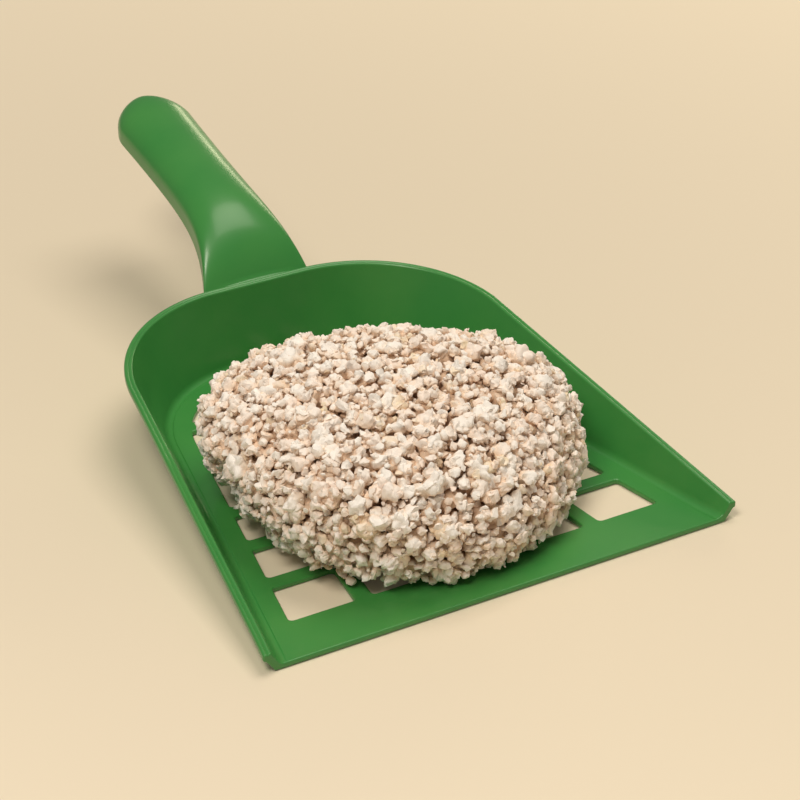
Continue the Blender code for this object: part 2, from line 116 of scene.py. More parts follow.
def apply_modifier(piece: bpy.types.Object, kind: str, **settings: object) -> None:
    """Adds a modifier to a piece and applies it.

    Args:
        piece: The mesh object.
        kind: The modifier's type.
        settings: Values for the modifier's own properties.
    """
    activate(piece)
    modifier = piece.modifiers.new(kind.lower(), kind)
    for name, value in settings.items():
        setattr(modifier, name, value)
    bpy.ops.object.modifier_apply(modifier=modifier.name)


def settle_in_place(piece: bpy.types.Object) -> None:
    """Moves a piece's place, turn and scale into its mesh."""
    activate(piece)
    bpy.ops.object.transform_apply(location=True, rotation=True, scale=True)


def add_object(name: str, data: bpy.types.ID) -> bpy.types.Object:
    """Adds an object to the scene.

    Args:
        name: The object's name.
        data: Its mesh, lamp or camera.

    Returns:
        The new object.
    """
    added = bpy.data.objects.new(name, data)
    bpy.context.scene.collection.objects.link(added)
    return added


def join_all(pieces: list[bpy.types.Object]) -> bpy.types.Object:
    """Joins separate objects to one.

    Args:
        pieces: The objects to join.

    Returns:
        The first of them, which now holds them all.
    """
    activate(pieces[0])
    for piece in pieces:
        piece.select_set(True)
    bpy.ops.object.join()
    return pieces[0]


def note_values(mesh: bpy.types.Mesh, name: str, values: list[float]) -> None:
    """Keeps one number for each vertex of a mesh, under a name that a material can read."""
    mesh.attributes.new(name, "FLOAT", "POINT").data.foreach_set("value", values)


def grid_key(point: Vector) -> tuple[int, ...]:
    """A point's place on a grid as fine as the merge distance, by which equal points are found."""
    return tuple(round(value / MERGE_WITHIN) for value in point)


def offset_polygon(points: list[Vector], distance: float) -> list[Vector]:
    """Moves the sides of a polygon outwards.

    Args:
        points: Corners in the plane, counter-clockwise.
        distance: How far the sides move, inwards if negative.

    Returns:
        The moved corners.
    """
    mitre_limit = 0.5
    moved = []
    for index, point in enumerate(points):
        before = (point - points[index - 1]).normalized()
        after = (points[(index + 1) % len(points)] - point).normalized()
        normal_before = Vector((before.y, -before.x))
        normal_after = Vector((after.y, -after.x))
        mitre = (normal_before + normal_after).normalized()
        moved.append(point + mitre * (distance / max(mitre.dot(normal_before), mitre_limit)))
    return moved


def arc(centre: Vector, radius: float, start: float, end: float, steps: int) -> list[Vector]:
    """Points along an arc in a plane.

    Args:
        centre: The arc's centre.
        radius: Its radius.
        start: Angle of the first point.
        end: Angle of the last point.
        steps: Number of chords between them.

    Returns:
        The points, both ends included.
    """
    turns = (start + (end - start) * step / steps for step in range(steps + 1))
    return [centre + Vector((math.cos(turn), math.sin(turn))) * radius for turn in turns]


def bend_points(start: Vector, corner: Vector, end: Vector, steps: int) -> list[Vector]:
    """Points along a smooth bend that rounds a corner.

    Args:
        start: Where the bend leaves the first side.
        corner: The sharp corner.
        end: Where the bend meets the second side.
        steps: Number of chords between them.

    Returns:
        The points, both ends included.
    """
    shares = [step / steps for step in range(steps + 1)]
    return [start.lerp(corner, share).lerp(corner.lerp(end, share), share) for share in shares]


def draw_out(name: str, sections: list[list[Vector]], closed: bool) -> bpy.types.Object:
    """Extrudes an outline from station to station.

    Args:
        name: The new object's name.
        sections: One list of points for each station, all of the same length.
        closed: Whether the outline's last point joins its first.

    Returns:
        The extruded strip, open at both ends.
    """
    deselect_all()
    bpy.ops.mesh.primitive_circle_add(vertices=len(sections[0]), radius=MM, fill_type="NOTHING")
    piece = bpy.context.object
    piece.name = piece.data.name = name
    for vertex, point in zip(piece.data.vertices, sections[0]):
        vertex.co = point
    with editing(piece):
        bpy.ops.mesh.select_mode(type="VERT")
        shape = bmesh.from_edit_mesh(piece.data)
        ring = list(shape.verts)
        if not closed:
            closing = next(edge for edge in shape.edges if set(edge.verts) == {ring[0], ring[-1]})
            shape.edges.remove(closing)
        for section in sections[1:]:
            bpy.ops.mesh.select_all(action="SELECT" if len(shape.verts) == len(ring) else "DESELECT")
            for vertex in ring:
                vertex.select = True
            shape.select_flush(True)
            bpy.ops.mesh.extrude_edges_move()
            drawn = []
            for vertex in ring:
                ends = (edge.other_vert(vertex) for edge in vertex.link_edges)
                drawn.append(next(end for end in ends if end.select))
            for vertex, point in zip(drawn, section):
                vertex.co = point
            ring = drawn
        bmesh.update_edit_mesh(piece.data)
    return piece


def fill_outline(piece: bpy.types.Object, points: list[Vector]) -> None:
    """Fills one open side of a strip with a single face.

    Args:
        piece: The mesh object.
        points: The corners of the face, each on one of the piece's vertices.
    """
    with editing(piece):
        bpy.ops.mesh.select_mode(type="VERT")
        bpy.ops.mesh.select_all(action="DESELECT")
        shape = bmesh.from_edit_mesh(piece.data)
        wanted = {grid_key(point) for point in points}
        for vertex in shape.verts:
            vertex.select = grid_key(vertex.co) in wanted
        shape.select_flush(True)
        bpy.ops.mesh.edge_face_add()


def point_outwards(piece: bpy.types.Object) -> None:
    """Merges a piece's doubles and turns its faces outwards.

    Args:
        piece: The mesh object, closed all round.
    """
    with editing(piece):
        bpy.ops.mesh.select_all(action="SELECT")
        bpy.ops.mesh.remove_doubles(threshold=MERGE_WITHIN)
        bpy.ops.mesh.dissolve_degenerate(threshold=MERGE_WITHIN)
        bpy.ops.mesh.normals_make_consistent(inside=False)


def combine(piece: bpy.types.Object, tool: bpy.types.Object, operation: str) -> None:
    """Joins another form to a piece, or cuts it out of the piece, and removes the form.

    Args:
        piece: The mesh object that stays.
        tool: The form that is joined or cut out.
        operation: UNION or DIFFERENCE.
    """
    apply_modifier(piece, "BOOLEAN", object=tool, operation=operation, solver="EXACT")
    bpy.data.objects.remove(tool, do_unlink=True)


class Graph:
    """A node tree with short ways to add and join its nodes."""

    def __init__(self, tree: bpy.types.NodeTree) -> None:
        """Takes the tree to build in."""
        self.tree = tree

    def node(self, kind: str, **settings: object) -> bpy.types.Node:
        """Adds a node.

        Args:
            kind: The node's type.
            settings: Values for the node's own properties.

        Returns:
            The new node.
        """
        made = self.tree.nodes.new(kind)
        for name, value in settings.items():
            setattr(made, name, value)
        return made

    def feed(self, node: bpy.types.Node, sources: dict[str | int, object]) -> None:
        """Joins a node's input sockets to other nodes' outputs, or sets their values.

        Args:
            node: The node to feed.
            sources: An output socket or a plain value for each input, by the input's name or number.
        """
        for name, source in sources.items():
            if isinstance(source, bpy.types.NodeSocket):
                self.tree.links.new(source, node.inputs[name])
            else:
                node.inputs[name].default_value = source

    def noise(self, vector: object, scale: object, detail: float, roughness: float) -> bpy.types.NodeSocket:
        """Adds a noise texture.

        Args:
            vector: Where the pattern is read.
            scale: How fine it is.
            detail: How many finer patterns lie on it.
            roughness: How strong those are.

        Returns:
            The pattern's value.
        """
        made = self.node("ShaderNodeTexNoise")
        self.feed(made, {"Vector": vector, "Scale": scale, "Detail": detail, "Roughness": roughness})
        return made.outputs["Fac"]

    def remap(
        self, value: object, span: tuple[float, float], to_low: float, to_high: float
    ) -> bpy.types.NodeSocket:
        """Stretches a range of values to another range, with a clamp at both ends.

        Args:
            value: The value to change.
            span: The range that it is read from.
            to_low: What the range's low end becomes.
            to_high: What its high end becomes.

        Returns:
            The changed value.
        """
        made = self.node("ShaderNodeMapRange")
        self.feed(made, {"Value": value, "From Min": span[0], "From Max": span[1]})
        self.feed(made, {"To Min": to_low, "To Max": to_high})
        return made.outputs["Result"]

    def math(self, operation: str, first: object, second: object) -> bpy.types.NodeSocket:
        """Adds a math node.

        Args:
            operation: What the node does with its two values.
            first: The first value.
            second: The second value.

        Returns:
            The outcome.
        """
        made = self.node("ShaderNodeMath", operation=operation)
        self.feed(made, {0: first, 1: second})
        return made.outputs[0]

    def mix(self, share: object, first: object, second: object) -> bpy.types.NodeSocket:
        """Mixes two colours.

        Args:
            share: How much of the second colour shows.
            first: The first colour.
            second: The second colour.

        Returns:
            The mixed colour.
        """
        made = self.node("ShaderNodeMix", data_type="RGBA", blend_type="MIX")
        self.feed(made, {"Factor": share, "A": first, "B": second})
        return made.outputs["Result"]

    def bump(self, height: object, distance: float, strength: float) -> bpy.types.NodeSocket:
        """Turns heights into normals.

        Args:
            height: The surface's relief, from 0 to 1.
            distance: How high a relief of 1 stands.
            strength: How much of it shows.

        Returns:
            The normals.
        """
        made = self.node("ShaderNodeBump")
        self.feed(made, {"Height": height, "Distance": distance, "Strength": strength})
        return made.outputs["Normal"]


def linear(text: str) -> tuple[float, float, float, float]:
    """The shader colour for a colour written as six hexadecimal digits."""
    levels = [int(text[start:start + 2], 16) / 255 for start in (0, 2, 4)]
    return (*Color(levels).from_srgb_to_scene_linear(), 1.0)


def grain_group() -> bpy.types.NodeTree:
    """The surface grain that every finish of the scoop and the clump shares.

    Returns:
        A group with Vector, Coarse Scale and Fine Scale in, and Mottle and Grain out.
    """
    name = "surface_grain"
    if name in bpy.data.node_groups:
        return bpy.data.node_groups[name]
    mottle_detail, mottle_roughness = 3.0, 0.5
    grain_detail, grain_roughness = 4.0, 0.6
    tree = bpy.data.node_groups.new(name, "ShaderNodeTree")
    tree.interface.new_socket("Vector", in_out="INPUT", socket_type="NodeSocketVector")
    for label in ("Coarse Scale", "Fine Scale"):
        tree.interface.new_socket(label, in_out="INPUT", socket_type="NodeSocketFloat")
    for label in ("Mottle", "Grain"):
        tree.interface.new_socket(label, in_out="OUTPUT", socket_type="NodeSocketFloat")
    graph = Graph(tree)
    given = graph.node("NodeGroupInput").outputs
    mottle = graph.noise(given["Vector"], given["Coarse Scale"], mottle_detail, mottle_roughness)
    grain = graph.noise(given["Vector"], given["Fine Scale"], grain_detail, grain_roughness)
    graph.feed(graph.node("NodeGroupOutput"), {"Mottle": mottle, "Grain": grain})
    return tree


@dataclass(frozen=True)
class Finish:
    """What every finish has: a name, a roughness range, and the scales of its mottling and grain."""

    name: str
    smoothest: float
    roughest: float
    mottle_scale: float
    grain_scale: float
    relief: float
    relief_strength: float
    specular: float
    mottle_span: tuple[float, float] = (0.3, 0.7)

    def begin(self) -> tuple[Graph, bpy.types.Node, bpy.types.Node, bpy.types.Material]:
        """Makes the material with its shader, grain and roughness.

        Returns:
            The graph, the shader, the grain group's node and the material.
        """
        material = bpy.data.materials.new(self.name)
        material.use_nodes = True
        graph = Graph(material.node_tree)
        shader = material.node_tree.nodes["Principled BSDF"]
        place = graph.node("ShaderNodeTexCoord").outputs["Object"]
        grain = graph.node("ShaderNodeGroup", node_tree=grain_group())
        scales = {"Coarse Scale": self.mottle_scale, "Fine Scale": self.grain_scale}
        graph.feed(grain, {"Vector": place, **scales})
        rough = graph.remap(grain.outputs["Mottle"], self.mottle_span, self.smoothest, self.roughest)
        relief = graph.bump(grain.outputs["Grain"], self.relief, self.relief_strength)
        graph.feed(shader, {"Roughness": rough, "Normal": relief, "Specular IOR Level": self.specular})
        return graph, shader, grain, material


@dataclass(frozen=True)
class MouldedPlastic(Finish):
    """Green moulded plastic with a satin gloss and faint flow marks."""

    name: str = "moulded_green_plastic"
    colour: str = "459045"
    flow_colour: str = "3B8A40"
    flow_span: tuple[float, float] = (0.35, 0.65)
    smoothest: float = 0.28
    roughest: float = 0.36
    mottle_scale: float = 34.0
    grain_scale: float = 2600.0
    relief: float = 0.02 * MM
    relief_strength: float = 0.1
    specular: float = 0.4
    coat: float = 0.25
    coat_roughness: float = 0.16

    def build(self) -> bpy.types.Material:
        """Makes the plastic's material.

        Returns:
            The material.
        """
        graph, shader, grain, material = self.begin()
        share = graph.remap(grain.outputs["Mottle"], self.flow_span, 0.0, 1.0)
        colour = graph.mix(share, linear(self.colour), linear(self.flow_colour))
        graph.feed(shader, {"Base Color": colour})
        graph.feed(shader, {"Coat Weight": self.coat, "Coat Roughness": self.coat_roughness})
        return material


@dataclass(frozen=True)
class ChalkyGrit(Finish):
    """Dry cream granules: a tint for each granule, paler dusty faces, a painted warm shade on each granule's
    low sides and a painted brown shade in the deep gaps.
    """

    name: str = "cream_granules"
    cream: str = "FFF9F2"
    pink: str = "FCEADC"
    pink_tints: tuple[float, float] = (0.25, 0.8)
    straw: str = "F3E0B6"
    straw_tints: tuple[float, float] = (0.9, 1.0)
    straw_share: float = 0.8
    dusty_mottle: tuple[float, float] = (0.35, 0.7)
    dust_share: float = 0.6
    # Painted warm shade on the low sides of each granule.
    shade_colour: str = "EAC49B"
    shade_depths: tuple[float, float] = (0.25, 0.85)
    shade_share: float = 0.68
    # Painted brown shade in the deepest gaps and over the core.
    gap_shade_colour: str = "86522A"
    gap_shade_depths: tuple[float, float] = (0.0, 0.36)
    gap_shade_share: float = 0.8
    smoothest: float = 0.82
    roughest: float = 0.97
    mottle_scale: float = 420.0
    grain_scale: float = 1100.0
    relief: float = 0.7 * MM
    relief_strength: float = 0.6
    specular: float = 0.2

    def build(self) -> bpy.types.Material:
        """Makes the granules' material, which reads the tint kept on their vertices and paints shade by the
        depth kept there.

        Returns:
            The material.
        """
        graph, shader, grain, material = self.begin()
        tint = graph.node("ShaderNodeAttribute", attribute_name=TINT).outputs["Fac"]
        depth = graph.node("ShaderNodeAttribute", attribute_name=SHADE_DEPTH).outputs["Fac"]
        layers = (
            (graph.remap(tint, self.pink_tints, 0.0, 1.0), self.pink),
            (graph.remap(tint, self.straw_tints, 0.0, self.straw_share), self.straw),
            (graph.remap(grain.outputs["Mottle"], self.dusty_mottle, 0.0, self.dust_share), self.cream),
            # Painted warm shade where a vertex sits low.
            (graph.remap(depth, self.shade_depths, self.shade_share, 0.0), self.shade_colour),
            # Painted brown shade where a vertex sits deepest, in the gaps.
            (graph.remap(depth, self.gap_shade_depths, self.gap_shade_share, 0.0), self.gap_shade_colour),
        )
        colour: object = linear(self.cream)
        for share, layer in layers:
            colour = graph.mix(share, colour, linear(layer))
        graph.feed(shader, {"Base Color": colour})
        return material


@dataclass
class Outline:
    """One level of the pan: straight sides that close in towards two rounded back corners."""

    front_width: float
    back_width: float
    depth: float
    radius: float

    def back_corner(self) -> tuple[Vector, Vector, Vector]:
        """The right back corner.

        Returns:
            Start of the corner's arc, its centre, and the side's outward normal.
        """
        corner = Vector((self.back_width / 2, self.depth))
        side = (corner - Vector((self.front_width / 2, 0.0))).normalized()
        turn = math.acos(-side.x)
        start = corner - side * (self.radius * math.tan(turn / 2))
        normal = Vector((side.y, -side.x))
        return start, start - normal * self.radius, normal

    def stations(self, side_steps: int, corner_steps: int, back_steps: int) -> list[tuple[Vector, Vector]]:
        """Points with their outward normals, from the right front corner to the middle of the back.

        Args:
            side_steps: Steps along the straight side.
            corner_steps: Steps round the corner.
            back_steps: Steps along half the back.

        Returns:
            One pair of point and normal for each station.
        """
        start, centre, side_normal = self.back_corner()
        front = Vector((self.front_width / 2, 0.0))
        first = math.atan2(side_normal.y, side_normal.x)
        pairs = [(front.lerp(start, step / side_steps), side_normal) for step in range(side_steps)]
        for step in range(corner_steps + 1):
            turn = first + (math.pi / 2 - first) * step / corner_steps
            normal = Vector((math.cos(turn), math.sin(turn)))
            pairs.append((centre + normal * self.radius, normal))
        for step in range(1, back_steps + 1):
            share = 1.0 - step / back_steps
            pairs.append((Vector((centre.x * share, self.depth)), Vector((0.0, 1.0))))
        return pairs


@dataclass
class Pan:
    """The slotted floor with its leaning walls and rim."""

    front_y: float
    floor: Outline = field(default_factory=lambda: Outline(150.0 * MM, 90.0 * MM, 156.0 * MM, 44.0 * MM))
    rim: Outline = field(default_factory=lambda: Outline(160.2 * MM, 120.8 * MM, 160.3 * MM, 50.0 * MM))
    floor_thickness: float = 1.8 * MM
    wall_thickness: float = 2.0 * MM
    rim_height_front: float = 4.6 * MM
    rim_height_corner: float = 25.2 * MM
    rim_height_back: float = 28.5 * MM
    bead_overhang: float = 0.8 * MM
    bead_height: float = 2.4 * MM
    bead_rounding: float = 0.75 * MM
    bead_inner_turn: float = math.radians(70.0)
    bead_outer_turn: float = math.radians(110.0)
    bead_groove: float = 0.3 * MM
    bead_lip_rounding: float = 0.6 * MM
    foot_fillet: float = 2.2 * MM
    foot_groove_start: float = 2.1 * MM
    foot_groove_width: float = 0.5 * MM
    foot_groove_flat: float = 0.35 * MM
    foot_groove_depth: float = 0.4 * MM
    plate_rounding: float = 0.35 * MM
    plate_last_turn: float = math.radians(10.0)
    under_rounding: float = 0.8 * MM
    end_rounding: float = 0.5 * MM
    groove_run_in: float = 5.0 * MM
    side_steps: int = 14
    corner_steps: int = 36
    back_steps: int = 8
    end_steps: int = 3
    rounding_steps: int = 3
    bead_steps: int = 5
    fillet_steps: int = 6

    def rim_height(self, step: int) -> float:
        """Height of the rim over the floor's upper face.

        Args:
            step: The station's number, counted from the front.

        Returns:
            The height, which climbs along the side and levels out round the corner.
        """
        if step <= self.side_steps:
            rise = self.rim_height_corner - self.rim_height_front
            return self.rim_height_front + rise * step / self.side_steps
        share = min((step - self.side_steps) / self.corner_steps, 1.0)
        return self.rim_height_back - (self.rim_height_back - self.rim_height_corner) * (1.0 - share) ** 2

    def plate_edge(self, share: float) -> list[Vector]:
        """Section through the floor's upper edge and the shallow groove beside it.

        Args:
            share: How deep the groove is here, from 0 to 1.

        Returns:
            Points outwards from the foot's line and up from the floor, the last where the wall's foot starts.
        """
        rounding = self.plate_rounding
        centre = Vector((-self.foot_groove_start - rounding, -rounding))
        plate = arc(centre, rounding, math.pi / 2, self.plate_last_turn, self.rounding_steps)
        groove_end = self.foot_groove_width - self.foot_groove_start
        depth = -self.foot_groove_depth * share
        points = [Vector((point.x, point.y * share)) for point in plate]
        return points + [Vector((groove_end - self.foot_groove_flat, depth)), Vector((groove_end, depth))]

    def bead(self) -> list[Vector]:
        """Section through the rim's bead, over its top and down its outside.

        Returns:
            Points outwards and up from the bead's outer top corner.
        """
        width = self.wall_thickness + self.bead_overhang
        rounding = self.bead_rounding
        lip = self.bead_lip_rounding
        inner_centre = Vector((rounding - width, -rounding))
        outer_centre = Vector((-rounding, -rounding))
        lip_centre = Vector((-lip, lip - self.bead_height))
        points = arc(inner_centre, rounding, math.pi, self.bead_inner_turn, self.bead_steps)
        points.append(Vector((-width / 2, -self.bead_groove)))
        points += arc(outer_centre, rounding, self.bead_outer_turn, 0.0, self.bead_steps)
        points += arc(lip_centre, lip, 0.0, -math.pi / 2, self.rounding_steps)
        points.append(Vector((-self.bead_overhang, -self.bead_height)))
        return points

    def section(
        self, foot: tuple[Vector, Vector], head: tuple[Vector, Vector], height: float
    ) -> list[Vector]:
        """Section through the floor's edge, the wall and the rim.

        Args:
            foot: Point and outward normal of the wall's inner foot.
            head: Point and outward normal of the rim's outer edge.
            height: Height of the rim over the floor's upper face.

        Returns:
            Points from the floor's upper face, over the rim, to its underside.
        """
        thick = self.floor_thickness

        def at_foot(point: Vector, base: float) -> Vector:
            """A point of the foot's section, over a height."""
            return (foot[0] + foot[1] * point.x).to_3d() + Vector((0.0, 0.0, base + point.y))

        def at_rim(point: Vector) -> Vector:
            """A point of the rim's section."""
            return (head[0] + head[1] * point.x).to_3d() + Vector((0.0, 0.0, thick + height + point.y))

        *plate, fillet_start = self.plate_edge(min(1.0, foot[0].y / self.groove_run_in))
        bead = [at_rim(point) for point in self.bead()]
        low = at_foot(fillet_start, thick)
        bend = at_foot(Vector((0.0, fillet_start.y)), thick)
        high = bend + (bead[0] - bend).normalized() * self.foot_fillet
        base = self.under_rounding
        edge_centre = Vector((self.wall_thickness - base, base))
        edge = arc(edge_centre, base, 0.0, -math.pi / 2, self.rounding_steps)
        points = [at_foot(point, thick) for point in plate]
        points += bend_points(low, bend, high, self.fillet_steps)
        points += bead
        points += [at_foot(point, 0.0) for point in edge]
        points.append(at_foot(Vector((-self.foot_fillet, 0.0)), 0.0))
        return points

    def sections(self) -> list[list[Vector]]:
        """Sections round the whole pan.

        Returns:
            The sections from the right front end, round the back, to the left front end.
        """
        steps = (self.side_steps, self.corner_steps, self.back_steps)
        pairs = zip(self.floor.stations(*steps), self.rim.stations(*steps))
        half = [self.section(foot, head, self.rim_height(step)) for step, (foot, head) in enumerate(pairs)]
        for point in half[0]:
            point.y = self.end_rounding
        mirrored = []
        for section in reversed(half[:-1]):
            mirrored.append([Vector((-point.x, point.y, point.z)) for point in section])
        shift = Vector((0.0, self.front_y, 0.0))
        return [[point + shift for point in section] for section in half + mirrored]

    def close_front(self, piece: bpy.types.Object, right: list[Vector], left: list[Vector]) -> None:
        """Closes the front end with a flat face that has a rounded border.

        Args:
            piece: The pan, open at its front end.
            right: The section at the right front end.
            left: The section at the left front end.
        """
        border = left + right[::-1]
        fill_outline(piece, border)
        flat = [Vector((point.x, point.z)) for point in border]
        area = sum(a.x * b.y - b.x * a.y for a, b in zip(flat, flat[1:] + flat[:1]))
        numbers = {grid_key(point): number for number, point in enumerate(border)}
        with editing(piece):
            shape = bmesh.from_edit_mesh(piece.data)
            for step in range(1, self.end_steps + 1):
                turn = math.pi / 2 * step / self.end_steps
                inset = offset_polygon(flat, math.copysign(self.end_rounding * (1.0 - math.cos(turn)), -area))
                y = self.front_y + self.end_rounding * (1.0 - math.sin(turn))
                bpy.ops.mesh.extrude_region_move()
                moved = {}
                for vertex in [vertex for vertex in shape.verts if vertex.select]:
                    number = numbers[grid_key(vertex.co)]
                    vertex.co = (inset[number].x, y, inset[number].y)
                    moved[grid_key(vertex.co)] = number
                numbers = moved

    def build(self) -> bpy.types.Object:
        """Models the pan, still without slots and handle.

        Returns:
            The pan.
        """
        sections = self.sections()
        piece = draw_out("scoop_moulding", sections, closed=False)
        fill_outline(piece, [section[0] for section in sections])
        fill_outline(piece, [section[-1] for section in sections])
        self.close_front(piece, sections[0], sections[-1])
        point_outwards(piece)
        return piece


@dataclass
class SlotPattern:
    """Slots through the floor, in rows whose columns close in towards the back."""

    pan: Pan
    front_margin: float = 17.0 * MM
    side_margin: float = 8.2 * MM
    row_lengths: tuple[float, ...] = (17.0 * MM, 15.2 * MM, 13.6 * MM, 21.2 * MM, 20.0 * MM)
    rib_between_rows: float = 5.2 * MM
    rib_between_columns: float = 5.7 * MM
    column_pitch: float = 19.6 * MM
    columns_per_side: int = 3
    corner_radius: float = 1.5 * MM
    corner_share: float = 0.45
    least_corner_turn: float = math.radians(25.0)
    upper_rounding: float = 0.6 * MM
    lower_rounding: float = 0.4 * MM
    lead_height: float = 0.13
    lead_widening: float = 1.5
    straight_within: float = 0.05 * MM
    least_spacing: float = 0.4 * MM
    corner_steps: int = 5
    curve_steps: int = 14
    rounding_steps: int = 3
    meeting_tries: int = 12

    def half_floor(self, y: float) -> float:
        """Half the floor's width on its straight sides at a distance behind the front edge."""
        floor = self.pan.floor
        return floor.front_width / 2 - (floor.front_width - floor.back_width) / 2 * y / floor.depth

    def region_side(self, y: float) -> float:
        """Half width of the slotted region.

        Args:
            y: Distance behind the front edge.

        Returns:
            The half width, which follows the side and then the back corner.
        """
        start, centre, normal = self.pan.floor.back_corner()
        line = self.half_floor(y) - self.side_margin / normal.x
        radius = self.pan.floor.radius - self.side_margin
        if y <= start.y or y - centre.y >= radius:
            return line
        return min(line, centre.x + math.sqrt(radius ** 2 - max(y - centre.y, 0.0) ** 2))

    def region_back(self, x: float) -> float:
        """Where the slotted region ends.

        Args:
            x: Distance from the middle of the scoop.

        Returns:
            The end's distance behind the front edge.
        """
        _, centre, _ = self.pan.floor.back_corner()
        radius = self.pan.floor.radius - self.side_margin
        beyond = max(abs(x) - centre.x, 0.0)
        return centre.y + math.sqrt(max(radius ** 2 - beyond ** 2, 0.0))

    def rib_line(self, column: int, y: float) -> float:
        """Centre of the rib between columns, which fans in with the floor's sides."""
        first = self.half_floor(self.front_margin) - self.side_margin
        return column * self.column_pitch * (self.half_floor(y) - self.side_margin) / first

    def sides(self, column: int, y: float) -> tuple[float, float]:
        """The two edges of a column of slots.

        Args:
            column: The column's number, from the middle outwards.
            y: Distance behind the front edge.

        Returns:
            Places across of the inner and the outer edge.
        """
        inner = self.rib_line(column, y) + self.rib_between_columns / 2
        if column == self.columns_per_side - 1:
            return inner, self.region_side(y)
        return inner, self.rib_line(column + 1, y) - self.rib_between_columns / 2

    def meet_back(self, column: int, side: int, start: float) -> float:
        """Where an edge of a column meets the end of the slotted region.

        Args:
            column: The column's number.
            side: 0 for its inner edge, 1 for its outer edge.
            start: Distance behind the front edge to search from.

        Returns:
            The meeting place's distance behind the front edge.
        """
        y = start
        for _ in range(self.meeting_tries):
            y = self.region_back(self.sides(column, y)[side])
        return y

    def row_slot(self, column: int, start: float, end: float) -> list[Vector]:
        """Outline of a slot in a straight row, on the right-hand side.

        Args:
            column: The slot's column.
            start: Distance of its near edge behind the front edge.
            end: Distance of its far edge.

        Returns:
            The slot's corners, counter-clockwise.
        """
        steps = self.curve_steps
        outer = []
        for step in range(steps + 1):
            y = start + (end - start) * step / steps
            outer.append(Vector((self.sides(column, y)[1], y)))
        chord = [outer[0].lerp(outer[-1], step / steps) for step in range(steps + 1)]
        if max(abs(point.x - straight.x) for point, straight in zip(outer, chord)) < self.straight_within:
            outer = [outer[0], outer[-1]]
        inner_start = Vector((self.sides(column, start)[0], start))
        inner_end = Vector((self.sides(column, end)[0], end))
        return [inner_start] + outer + [inner_end]

    def last_slot(self, column: int, start: float) -> list[Vector]:
        """Outline of a slot in the last row, whose far edge follows the back of the floor.

        Args:
            column: The slot's column.
            start: Distance of its near edge behind the front edge.

        Returns:
            The slot's corners, counter-clockwise.
        """
        inner, outer = self.sides(column, start)
        inner_end = self.sides(column, self.meet_back(column, 0, start))[0]
        outer_end = outer
        if column < self.columns_per_side - 1:
            outer_end = self.sides(column, self.meet_back(column, 1, start))[1]
        points = [Vector((inner, start)), Vector((outer, start))]
        for step in range(self.curve_steps + 1):
            x = outer_end + (inner_end - outer_end) * step / self.curve_steps
            point = Vector((x, self.region_back(x)))
            if (point - points[-1]).length > self.least_spacing:
                points.append(point)
        return points

    def rounded(self, points: list[Vector]) -> list[Vector]:
        """Rounds the sharp corners of an outline.

        Args:
            points: The outline's corners.

        Returns:
            The corners, with each sharp one as a bend.
        """
        outline = []
        for index, point in enumerate(points):
            before = points[index - 1] - point
            after = points[(index + 1) % len(points)] - point
            turn = math.pi - before.angle(after)
            if turn < self.least_corner_turn:
                outline.append(point)
                continue
            room = min(before.length * self.corner_share, after.length * self.corner_share)
            reach = min(self.corner_radius * math.tan(turn / 2), room)
            start = point + before.normalized() * reach
            end = point + after.normalized() * reach
            outline += bend_points(start, point, end, self.corner_steps)
        return outline

    def outlines(self) -> list[list[Vector]]:
        """Outlines of all the slots.

        Returns:
            The right-hand slots' outlines, then their mirror images.
        """
        right = []
        start = self.front_margin
        for length in self.row_lengths:
            right += [self.row_slot(column, start, start + length) for column in range(self.columns_per_side)]
            start += length + self.rib_between_rows
        right += [self.last_slot(column, start) for column in range(self.columns_per_side)]
        right = [self.rounded(outline) for outline in right]
        left = [[Vector((-point.x, point.y)) for point in reversed(outline)] for outline in right]
        return right + left

    def levels(self) -> list[tuple[float, float]]:
        """Levels of a slot's form, which widens where it leaves the floor's faces.

        Returns:
            Height and widening of each level, from below the floor to above it.
        """
        thick = self.pan.floor_thickness
        low, high = self.lower_rounding, self.upper_rounding
        turns = [math.pi / 2 * step / self.rounding_steps for step in range(self.rounding_steps)]
        made = [(-thick, low + thick), (-low * self.lead_height, low * self.lead_widening)]
        made += [(low * (1.0 - math.sin(turn)), low * (1.0 - math.cos(turn))) for turn in reversed(turns)]
        made += [(thick - high * (1.0 - math.sin(turn)), high * (1.0 - math.cos(turn))) for turn in turns]
        made.append((thick + high * self.lead_height, high * self.lead_widening))
        return made + [(2 * thick, high + thick)]

    def cut(self, piece: bpy.types.Object) -> None:
        """Cuts the slots through the pan's floor.

        Args:
            piece: The pan.
        """
        levels = self.levels()
        shift = Vector((0.0, self.pan.front_y))
        forms = []
        for outline in self.outlines():
            rings = []
            for height, widening in levels:
                ring = offset_polygon(outline, widening)
                rings.append([(point + shift).to_3d() + Vector((0.0, 0.0, height)) for point in ring])
            form = draw_out("slot_form", rings, closed=True)
            fill_outline(form, rings[0])
            fill_outline(form, rings[-1])
            forms.append(form)
        form = join_all(forms)
        point_outwards(form)
        combine(piece, form, "DIFFERENCE")


